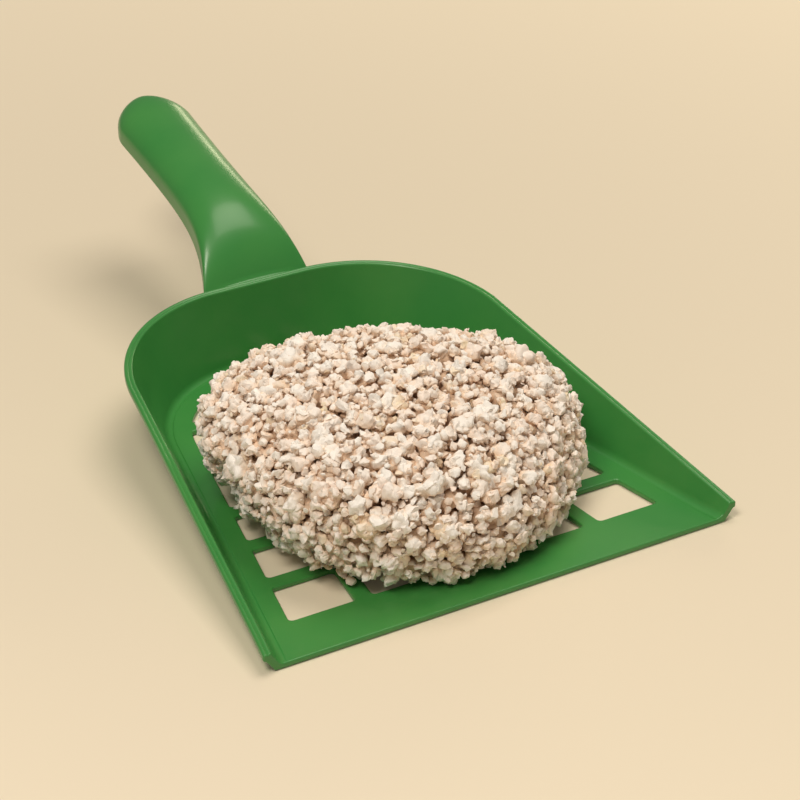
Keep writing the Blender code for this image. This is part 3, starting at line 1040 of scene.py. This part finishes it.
@dataclass
class Handle:
    """The handle, a channel with a rounded end that is open underneath."""

    pan: Pan
    end_y: float
    wall: float = 2.2 * MM
    below_rim: float = 0.7 * MM
    rise: float = 19.5 * MM
    rise_length: float = 8.5 * MM
    slope: float = 0.185
    root_width: float = 39.5 * MM
    waist_width: float = 25.0 * MM
    end_width: float = 27.4 * MM
    flare_length: float = 13.0 * MM
    root_crown: float = 2.6 * MM
    grip_crown: float = 8.0 * MM
    least_crown_share: float = 0.2
    root_depth: float = 13.0 * MM
    grip_depth: float = 11.5 * MM
    depth_length: float = 30.0 * MM
    end_fullness: float = 0.5
    edge_rounding: float = 0.7 * MM
    edge_share: float = 0.45
    closed_below: float = 1e-6
    steps: int = 44
    step_power: float = 1.4
    end_steps: int = 20
    crown_steps: int = 30
    edge_steps: int = 3

    def settle(self, start: float, end: float, distance: float, length: float) -> float:
        """A size that leaves its start value and settles at its end value."""
        return end + (start - end) * math.exp(-distance / length)

    def crown_height(self, distance: float) -> float:
        """Height of the handle's crown at a distance behind the rim."""
        root = self.pan.floor_thickness + self.pan.rim_height_back - self.below_rim
        return root + self.settle(0.0, self.rise, distance, self.rise_length) + self.slope * distance

    def width(self, distance: float, straight: float) -> float:
        """Width of the handle.

        Args:
            distance: Distance behind the rim.
            straight: Length of the part before the rounded end.

        Returns:
            The width, which narrows from the root to the waist and swells a little to the end.
        """
        flare = self.settle(self.root_width - self.waist_width, 0.0, distance, self.flare_length)
        swell = (self.end_width - self.waist_width) * (distance / straight) ** 2
        return self.waist_width + flare + swell

    def wall_middle(self, height: float) -> float:
        """Middle of the back wall's thickness, to which the handle's root reaches.

        Args:
            height: Height over the ground.

        Returns:
            The middle's distance behind the front edge.
        """
        pan = self.pan
        top = pan.floor_thickness + pan.rim_height_back
        foot = pan.floor.depth + pan.wall_thickness / 2
        head = pan.rim.depth - pan.bead_overhang - pan.wall_thickness / 2
        return foot + (head - foot) * height / top

    def leg(self, outer: float, inner: float, bottom: float) -> list[tuple[float, float, float]]:
        """The rounded lower edge of the right-hand side wall.

        Args:
            outer: Half width outside.
            inner: Half width inside.
            bottom: Height of the lower edge.

        Returns:
            Offset across, height, and share of the way from the outside to the inside, for each point.
        """
        thick = outer - inner
        radius = min(self.edge_rounding, thick * self.edge_share)
        outer_centre = Vector((outer - radius, bottom + radius))
        inner_centre = Vector((inner + radius, bottom + radius))
        points = arc(outer_centre, radius, 0.0, -math.pi / 2, self.edge_steps)
        points += arc(inner_centre, radius, -math.pi / 2, -math.pi, self.edge_steps)
        if thick < MERGE_WITHIN:
            last = len(points) - 1
            return [(outer, bottom, number / last) for number in range(last + 1)]
        return [(point.x, point.y, (outer - point.x) / thick) for point in points]

    def section(self, distance: float, turn: float, straight: float, at_root: bool) -> list[Vector]:
        """Closed section through the channel.

        Args:
            distance: Distance behind the rim of the straight part.
            turn: Angle round the rounded end, 0 before it.
            straight: Length of the straight part.
            at_root: Whether the section lies inside the back wall.

        Returns:
            Points over the outside from left to right, and back along the inside.
        """
        close, reach = math.cos(turn), math.sin(turn)
        rim = self.pan.rim.depth
        half_width = self.width(distance, straight) / 2
        crown = self.settle(self.root_crown, self.grip_crown, distance, self.flare_length)
        depth = self.settle(self.root_depth, self.grip_depth, distance, self.depth_length)
        end_radius = self.end_width / 2
        outer_y = rim + distance + end_radius * reach
        inner_y = rim + distance + (end_radius - self.wall) * reach
        crest = self.crown_height(outer_y - rim)
        shoulder = crest - crown
        outer_x = half_width * close
        inner_x = (half_width - self.wall) * close
        leg_sides = (outer_x, inner_x) if close > self.closed_below else (0.0, 0.0)
        leg = self.leg(*leg_sides, crest - depth)
        turns = [math.pi * (step / self.crown_steps - 0.5) for step in range(self.crown_steps + 1)]
        fullness = max(close, 0.0) ** self.end_fullness
        outer_crown = crown * fullness
        inner_crown = max(crown - self.wall, self.least_crown_share * self.wall) * fullness
        points = []
        for angle in turns:
            points.append((outer_x * math.sin(angle), shoulder + outer_crown * math.cos(angle), 0.0))
        points += leg
        for angle in reversed(turns):
            points.append((inner_x * math.sin(angle), shoulder + inner_crown * math.cos(angle), 1.0))
        points += [(-x, z, share) for x, z, share in reversed(leg)]
        placed = []
        for x, z, share in points:
            y = self.wall_middle(z) if at_root else outer_y + (inner_y - outer_y) * share
            placed.append(Vector((x, self.pan.front_y + y, z)))
        return placed

    def join_to(self, piece: bpy.types.Object) -> None:
        """Models the handle and joins it to the pan's back wall.

        Args:
            piece: The pan.
        """
        straight = self.end_y - self.pan.front_y - self.pan.rim.depth - self.end_width / 2
        sections = []
        for step in range(self.steps):
            distance = straight * (step / self.steps) ** self.step_power
            sections.append(self.section(distance, 0.0, straight, at_root=step == 0))
        for step in range(self.end_steps + 1):
            turn = math.pi / 2 * step / self.end_steps
            sections.append(self.section(straight, turn, straight, at_root=False))
        form = draw_out("handle_form", sections, closed=True)
        fill_outline(form, sections[0])
        point_outwards(form)
        combine(piece, form, "UNION")


@dataclass
class Scoop:
    """The whole moulding: pan, slots and handle."""

    finish: MouldedPlastic
    front_y: float
    end_y: float
    crease_angle: float = math.radians(50.0)
    normal_weight: int = 80

    def build(self) -> bpy.types.Object:
        """Models and dresses the moulding.

        Returns:
            The moulding.
        """
        pan = Pan(front_y=self.front_y)
        piece = pan.build()
        SlotPattern(pan).cut(piece)
        Handle(pan, self.end_y).join_to(piece)
        activate(piece)
        bpy.ops.object.shade_smooth_by_angle(angle=self.crease_angle)
        apply_modifier(piece, "WEIGHTED_NORMAL", keep_sharp=True, weight=self.normal_weight, mode="FACE_AREA")
        piece.data.materials.clear()
        piece.data.materials.append(self.finish.build())
        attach(piece, "root")
        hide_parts("scoop")
        return piece


@dataclass(frozen=True)
class Batch:
    """One size of granules: how large, how far apart, how deep they sit and how they are shaped.

    The two heights are the range over the smoothed clump in which a granule of the size may sit.
    """

    size: GranuleSize
    smallest: float
    largest: float
    spacing: float
    sink: float
    least_height: float
    kinds: int
    subdivisions: int
    faces_kept: float
    cuts: int
    most_height: float = 9.0 * MM


COARSE = Batch(
    GranuleSize.COARSE, smallest=6.4 * MM, largest=9.6 * MM, spacing=10.6 * MM, sink=1.9 * MM,
    least_height=0.3 * MM, kinds=20, subdivisions=4, faces_kept=0.5, cuts=3,
)
MEDIUM = Batch(
    GranuleSize.MEDIUM, smallest=4.1 * MM, largest=6.6 * MM, spacing=4.4 * MM, sink=1.1 * MM,
    least_height=-0.4 * MM, kinds=32, subdivisions=3, faces_kept=0.6, cuts=2,
)
SMALL = Batch(
    GranuleSize.SMALL, smallest=2.3 * MM, largest=4.2 * MM, spacing=2.85 * MM, sink=0.6 * MM,
    least_height=-2.2 * MM, kinds=32, subdivisions=2, faces_kept=0.7, cuts=1,
)
FINE = Batch(
    GranuleSize.FINE, smallest=1.2 * MM, largest=2.2 * MM, spacing=3.2 * MM, sink=0.2 * MM,
    least_height=-3.0 * MM, kinds=12, subdivisions=1, faces_kept=1.0, cuts=0,
)


@dataclass
class Clump:
    """A lump of granules stuck together, laid over the blocks of the clump's solid."""

    finish: ChalkyGrit
    node: bpy.types.Object
    batches: tuple[Batch, ...] = (COARSE, MEDIUM, SMALL, FINE)
    floor_top: float = 2.1 * MM
    base_margin: float = 0.3 * MM
    smoothing: int = 30
    breadths: tuple[float, float] = (0.68, 0.98)
    thicknesses: tuple[float, float] = (0.45, 0.88)
    chip_reaches: tuple[float, float] = (0.4, 0.8)
    pattern_size: float = 50.0
    knob_scale: float = 3.0
    knob_middle: float = 0.35
    knob_height: float = 0.3
    swell_scale: float = 2.0
    swell_height: float = 0.15
    grit_scale: float = 8.0
    grit_height: float = 0.03
    crease_angle: float = math.radians(42.0)
    tries_per_place: int = 9
    sink_range: float = 1.0 * MM
    tilt_spread: float = 0.55
    lift_below: float = 1.3 * MM
    lift_above: float = 0.9 * MM
    lift_share: float = 0.6
    core_shrink: float = 2.6 * MM
    core_relief: float = 0.9 * MM
    core_relief_scale: float = 450.0
    core_tint: float = 0.5
    depth_below: float = 3.2 * MM
    depth_above: float = 1.2 * MM
    seed: int = 11
    draws: random.Random = field(init=False)
    material: bpy.types.Material = field(init=False)
    smooth_tree: BVHTree = field(init=False)

    def __post_init__(self) -> None:
        """Seeds the draws and the noise, so that each run gives the same clump."""
        self.draws = random.Random(self.seed)
        noise.seed_set(self.seed)

    def copy_solid(self, name: str) -> bpy.types.Object:
        """Copies the clump's solid and merges its doubles.

        Args:
            name: The copy's name.

        Returns:
            The copy.
        """
        deselect_all()
        copy = self.node.copy()
        copy.data = self.node.data.copy()
        copy.parent = None
        copy.name = copy.data.name = name
        for key in list(copy.keys()):
            del copy[key]
        bpy.context.scene.collection.objects.link(copy)
        with editing(copy):
            bpy.ops.mesh.select_all(action="SELECT")
            bpy.ops.mesh.remove_doubles(threshold=MERGE_WITHIN)
        return copy

    def chip(self, spread: tuple[float, float, float]) -> None:
        """Cuts a flat face on the granule that is open in edit mode.

        Args:
            spread: The granule's size along each axis.
        """
        draw = self.draws
        normal = Vector((draw.gauss(0, 1), draw.gauss(0, 1), draw.gauss(0, 1))).normalized()
        reach = sum(abs(normal[axis]) * spread[axis] for axis in range(3)) * 0.5
        plane = normal * reach * draw.uniform(*self.chip_reaches)
        bpy.ops.mesh.select_all(action="SELECT")
        bpy.ops.mesh.bisect(plane_co=plane, plane_no=normal, use_fill=True, clear_outer=True)

    def roughen(self, mesh: bpy.types.Mesh) -> None:
        """Gives the granule that is open in edit mode its knobs and its grit.

        Args:
            mesh: The granule's mesh.
        """
        shape = bmesh.from_edit_mesh(mesh)
        origin = Vector([self.draws.uniform(0.0, self.pattern_size) for _ in range(3)])
        for vertex in shape.verts:
            distances, _ = noise.voronoi(origin + vertex.co * self.knob_scale)
            push = vertex.normal * ((self.knob_middle - distances[0]) * self.knob_height)
            push += noise.noise_vector(origin + vertex.co * self.swell_scale) * self.swell_height
            push += noise.noise_vector(origin + vertex.co * self.grit_scale) * self.grit_height
            vertex.co += push
        bmesh.update_edit_mesh(mesh)

    def granule_kind(self, batch: Batch) -> bpy.types.Mesh:
        """Shapes one granule, 1 m across: a knobbly crumb with a few chipped faces.

        Args:
            batch: The size that the granule belongs to.

        Returns:
            The granule's mesh.
        """
        deselect_all()
        bpy.ops.mesh.primitive_ico_sphere_add(subdivisions=batch.subdivisions, radius=0.5)
        piece = bpy.context.object
        with editing(piece):
            bpy.ops.mesh.select_all(action="SELECT")
            spread = (1.0, self.draws.uniform(*self.breadths), self.draws.uniform(*self.thicknesses))
            bpy.ops.transform.resize(value=spread)
            for _ in range(batch.cuts):
                self.chip(spread)
            bpy.ops.mesh.select_all(action="SELECT")
            bpy.ops.mesh.quads_convert_to_tris(quad_method="BEAUTY", ngon_method="BEAUTY")
            self.roughen(piece.data)
        if batch.faces_kept < 1.0:
            apply_modifier(piece, "DECIMATE", ratio=batch.faces_kept)
        bpy.ops.object.shade_smooth_by_angle(angle=self.crease_angle)
        mesh = piece.data
        bpy.data.objects.remove(piece, do_unlink=True)
        return mesh

    def scatter(self, solid: bpy.types.Object, batch: Batch) -> list[tuple[Vector, Vector]]:
        """Picks well-spread points on the solid's blocks, or in the gaps between them.

        Args:
            solid: The merged copy of the solid.
            batch: The granules to lay, with their spacing and the heights that they may sit at.

        Returns:
            Points with the smooth clump's normals.
        """
        mesh = solid.data
        mesh.calc_loop_triangles()
        lowest = self.floor_top + self.base_margin
        triangles = [tri for tri in mesh.loop_triangles if tri.center.z > lowest]
        areas = [tri.area for tri in triangles]
        tries = int(sum(areas) / batch.spacing ** 2 * self.tries_per_place)
        offsets = [(i, j, k) for i in (-1, 0, 1) for j in (-1, 0, 1) for k in (-1, 0, 1)]
        taken: dict[tuple[int, int, int], list[Vector]] = {}
        kept = []
        for tri in self.draws.choices(triangles, weights=areas, k=tries):
            a, b, c = (mesh.vertices[index].co for index in tri.vertices)
            u, v = self.draws.random(), self.draws.random()
            if u + v > 1.0:
                u, v = 1.0 - u, 1.0 - v
            point = a + (b - a) * u + (c - a) * v
            near, normal, _, _ = self.smooth_tree.find_nearest(point)
            if not batch.least_height <= (point - near).dot(normal) <= batch.most_height:
                continue
            cell = tuple(int(value // batch.spacing) for value in point)
            groups = (taken.get((cell[0] + i, cell[1] + j, cell[2] + k), ()) for i, j, k in offsets)
            if any((point - other).length < batch.spacing for group in groups for other in group):
                continue
            taken.setdefault(cell, []).append(point)
            kept.append((point, normal))
        return kept

    def lift(self, place: Vector, point: Vector, normal: Vector) -> float:
        """How far a granule's vertex stands out of its neighbours, from 0 to 1; its material paints shade
        where this is low.
        """
        height = (place - point).dot(normal) + self.lift_below
        return min(1.0, max(0.0, height / (self.lift_below + self.lift_above)))

    def place_granule(self, batch: Batch, point: Vector, normal: Vector) -> Matrix:
        """Draws how one granule lies.

        Args:
            batch: The size that the granule belongs to.
            point: The point on the clump's blocks that it sits at.
            normal: The smooth clump's normal there.

        Returns:
            The granule's place, turn and size.
        """
        size = self.draws.uniform(batch.smallest, batch.largest)
        sink = batch.sink + self.draws.uniform(-0.5, 0.5) * self.sink_range
        flat = normal.to_track_quat("Z", "Y").to_matrix()
        tilts = [self.draws.gauss(0.0, self.tilt_spread), self.draws.gauss(0.0, self.tilt_spread)]
        tilt = Euler([*tilts, 0.0]).to_matrix()
        spin = Matrix.Rotation(self.draws.uniform(0.0, 2 * math.pi), 3, "Z")
        turn = (flat @ tilt @ spin).to_4x4()
        return Matrix.Translation(point - normal * sink) @ turn @ Matrix.Scale(size, 4)

    def lay(self, batch: Batch, solid: bpy.types.Object) -> bpy.types.Object:
        """Lays one size of granules over the clump.

        Args:
            batch: The size to lay.
            solid: The merged copy of the solid.

        Returns:
            The granules as one piece.
        """
        kinds = [self.granule_kind(batch) for _ in range(batch.kinds)]
        granules = []
        for point, normal in self.scatter(solid, batch):
            place = self.place_granule(batch, point, normal)
            mesh = self.draws.choice(kinds).copy()
            mesh.transform(place)
            note_values(mesh, TINT, [self.draws.random()] * len(mesh.vertices))
            # The lift paints shade on each granule's low sides.
            note_values(mesh, SHADE_DEPTH, [self.lift(vertex.co, point, normal) for vertex in mesh.vertices])
            granules.append(add_object("granule", mesh))
        piece = join_all(granules)
        piece.name = piece.data.name = f"granules_{batch.size.value}"
        self.finish_piece(piece)
        for mesh in kinds:
            bpy.data.meshes.remove(mesh)
        LOG.info("%s granules: %d", batch.size.value, len(granules))
        return piece

    def finish_piece(self, piece: bpy.types.Object) -> None:
        """Keeps a piece clear of the floor, notes each vertex's depth, from which its material paints shade,
        and dresses it.

        Args:
            piece: The granules or the core, with each vertex's lift noted as its depth.
        """
        mesh = piece.data
        depth = mesh.attributes[SHADE_DEPTH]
        values = [0.0] * len(mesh.vertices)
        depth.data.foreach_get("value", values)
        span = self.depth_below + self.depth_above
        for index, vertex in enumerate(mesh.vertices):
            vertex.co.z = max(vertex.co.z, self.floor_top)
            near, normal, _, _ = self.smooth_tree.find_nearest(vertex.co)
            height = (vertex.co - near).dot(normal)
            level = min(1.0, max(0.0, (height + self.depth_below) / span))
            values[index] = level + (values[index] - level) * self.lift_share
        depth.data.foreach_set("value", values)
        mesh.materials.clear()
        mesh.materials.append(self.material)
        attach(piece, "root")
        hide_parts("litter_clump")

    def shape_core(self, core: bpy.types.Object) -> None:
        """Sinks the core under the granules, roughens its blocks and dresses it; its depth of 0 gives it the
        painted brown shade of the gaps.

        Args:
            core: The merged copy of the solid.
        """
        with editing(core):
            bpy.ops.mesh.select_all(action="SELECT")
            bpy.ops.mesh.subdivide(number_cuts=1)
            shape = bmesh.from_edit_mesh(core.data)
            for vertex in shape.verts:
                _, normal, _, _ = self.smooth_tree.find_nearest(vertex.co)
                vertex.co -= normal * self.core_shrink
                vertex.co += noise.noise_vector(vertex.co * self.core_relief_scale) * self.core_relief
            bmesh.update_edit_mesh(core.data)
        note_values(core.data, TINT, [self.core_tint] * len(core.data.vertices))
        # A depth of 0 paints the whole core in the brown gap shade.
        note_values(core.data, SHADE_DEPTH, [0.0] * len(core.data.vertices))
        self.finish_piece(core)

    def build(self) -> list[bpy.types.Object]:
        """Models and dresses the core and its granules.

        Returns:
            The pieces.
        """
        self.material = self.finish.build()
        smooth = self.copy_solid("smooth_clump")
        with editing(smooth):
            bpy.ops.mesh.select_all(action="SELECT")
            bpy.ops.mesh.vertices_smooth(factor=0.5, repeat=self.smoothing)
        self.smooth_tree = BVHTree.FromPolygons(
            [vertex.co.copy() for vertex in smooth.data.vertices],
            [tuple(face.vertices) for face in smooth.data.polygons],
        )
        bpy.data.objects.remove(smooth, do_unlink=True)
        core = self.copy_solid("clump_core")
        pieces = [self.lay(batch, core) for batch in self.batches]
        self.shape_core(core)
        return pieces + [core]


@dataclass(frozen=True)
class Lamp:
    """A soft rectangular lamp: where it hangs, its width and height, its power and its colour."""

    name: str
    place: tuple[float, float, float]
    size: tuple[float, float]
    watts: float
    colour: str


@dataclass
class Studio:
    """The floor, the lamps, the pale surroundings and the camera."""

    front_y: float
    floor_size: float = 8.0
    floor_drop: float = 0.2 * MM
    floor_colour: str = "E9DCC5"
    floor_roughness: float = 0.9
    floor_specular: float = 0.1
    far_colour: str = "EAD5B4"
    lamp_height: float = 0.9
    surroundings: str = "F2EFEA"
    fill: float = 0.15
    reflected: float = 0.22
    azimuth: float = math.radians(-29.99)
    elevation: float = math.radians(30.18)
    roll: float = math.radians(0.27)
    distance: float = 735.27 * MM
    target_behind_lip: float = 70.0 * MM
    target_height: float = 21.8 * MM
    aim_across: float = 2.61 * MM
    aim_up: float = 6.27 * MM
    lens: float = 108.0
    sensor_width: float = 36.0
    nearest: float = 0.01
    farthest: float = 50.0
    lamp_aim: tuple[float, float, float] = (0.0, -0.03, 0.02)
    lamps: tuple[Lamp, ...] = (
        Lamp("front_key", (-0.42, -0.34, 0.80), (0.30, 0.30), 4.4, "FFF6E8"),
        Lamp("top_key", (0.24, -0.02, 0.90), (0.55, 0.55), 4.0, "FFF6E8"),
        Lamp("right_strip", (0.98, 0.80, 0.36), (0.70, 0.20), 2.4, "FFF3CC"),
    )

    def lay_floor(self) -> None:
        """Lays the plain floor."""
        deselect_all()
        bpy.ops.mesh.primitive_plane_add(size=self.floor_size, location=(0.0, 0.0, -self.floor_drop))
        floor = bpy.context.object
        floor.name = "studio_floor"
        settle_in_place(floor)
        floor.data.materials.append(self.floor_material())

    def seen_rays(self, graph: Graph) -> bpy.types.NodeSocket:
        """Tells the rays in which the background itself is seen from those that light the object.

        Args:
            graph: The material or surroundings that the rays meet.

        Returns:
            1 for rays in which the background is seen, and 0 for the others.
        """
        path = graph.node("ShaderNodeLightPath").outputs
        seen = graph.math("MAXIMUM", path["Is Camera Ray"], path["Is Glossy Ray"])
        return graph.math("MAXIMUM", seen, path["Is Transmission Ray"])

    def floor_material(self) -> bpy.types.Material:
        """Makes the floor's material, which looks as pale far out as it is under the lamps.

        The lamps' light on the floor falls as 1 / (1 + s * s) ** 2, where s is the distance over the lamps'
        height. A glow that only seen rays meet makes up for what is lost.

        Returns:
            The material.
        """
        material = bpy.data.materials.new("studio_floor")
        material.use_nodes = True
        graph = Graph(material.node_tree)
        shader = material.node_tree.nodes["Principled BSDF"]
        length = graph.node("ShaderNodeVectorMath", operation="LENGTH")
        graph.feed(length, {0: graph.node("ShaderNodeTexCoord").outputs["Object"]})
        share = graph.math("DIVIDE", length.outputs["Value"], self.lamp_height)
        lit = graph.math("POWER", graph.math("ADD", graph.math("POWER", share, 2.0), 1.0), -2.0)
        faded = graph.math("MULTIPLY", graph.math("SUBTRACT", 1.0, lit), 1.0 - self.fill)
        glow = graph.math("MULTIPLY", faded, self.seen_rays(graph))
        graph.feed(shader, {"Base Color": linear(self.floor_colour), "Roughness": self.floor_roughness})
        graph.feed(shader, {"Specular IOR Level": self.floor_specular})
        graph.feed(shader, {"Emission Color": linear(self.far_colour), "Emission Strength": glow})
        return material

    def hang_lamp(self, lamp: Lamp) -> None:
        """Hangs a lamp so that it faces the object.

        Args:
            lamp: The lamp.
        """
        data = bpy.data.lights.new(lamp.name, "AREA")
        data.shape = "RECTANGLE"
        data.size, data.size_y = lamp.size
        data.energy = lamp.watts
        data.color = linear(lamp.colour)[:3]
        hung = add_object(lamp.name, data)
        hung.location = lamp.place
        hung.rotation_mode = "QUATERNION"
        hung.rotation_quaternion = (Vector(self.lamp_aim) - hung.location).to_track_quat("-Z", "Y")

    def light(self) -> None:
        """Hangs the lamps and sets the surroundings."""
        for lamp in self.lamps:
            self.hang_lamp(lamp)
        world = bpy.data.worlds.new("surroundings")
        bpy.context.scene.world = world
        world.use_nodes = True
        graph = Graph(world.node_tree)
        strength = graph.remap(self.seen_rays(graph), (0.0, 1.0), self.fill, self.reflected)
        background = world.node_tree.nodes["Background"]
        graph.feed(background, {"Color": linear(self.surroundings), "Strength": strength})

    def place_camera(self) -> None:
        """Places the camera at the photo's viewing angle."""
        flat = Vector((math.cos(self.azimuth), math.sin(self.azimuth), 0.0))
        back = Vector((
            math.sin(self.azimuth) * math.cos(self.elevation),
            -math.cos(self.azimuth) * math.cos(self.elevation),
            math.sin(self.elevation),
        ))
        upright = back.cross(flat)
        right = flat * math.cos(self.roll) + upright * math.sin(self.roll)
        up = upright * math.cos(self.roll) - flat * math.sin(self.roll)
        target = Vector((0.0, self.front_y + self.target_behind_lip, self.target_height))
        place = target + back * self.distance + right * self.aim_across + up * self.aim_up
        data = bpy.data.cameras.new("camera")
        data.lens = self.lens
        data.sensor_width = self.sensor_width
        data.clip_start = self.nearest
        data.clip_end = self.farthest
        camera = add_object("camera", data)
        turn = Matrix((right, up, back)).transposed()
        camera.matrix_world = Matrix.Translation(place) @ turn.to_4x4()
        bpy.context.scene.camera = camera

    def build(self) -> None:
        """Sets up the whole studio."""
        self.lay_floor()
        self.light()
        self.place_camera()
        bpy.context.scene.view_settings.view_transform = "Standard"


def main() -> None:
    """Builds the studio, the scoop and the clump, and logs the pieces' face counts."""
    logging.basicConfig(level=logging.INFO, format="%(name)s: %(message)s")
    Studio(front_y=cad_low.y).build()
    LOG.info("studio is set")
    scoop = Scoop(MouldedPlastic(), front_y=cad_low.y, end_y=cad_high.y).build()
    LOG.info("%s: %d faces", scoop.name, len(scoop.data.polygons))
    for piece in Clump(ChalkyGrit(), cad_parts["litter_clump"]).build():
        LOG.info("%s: %d faces", piece.name, len(piece.data.polygons))


if __name__ == "__main__":
    main()
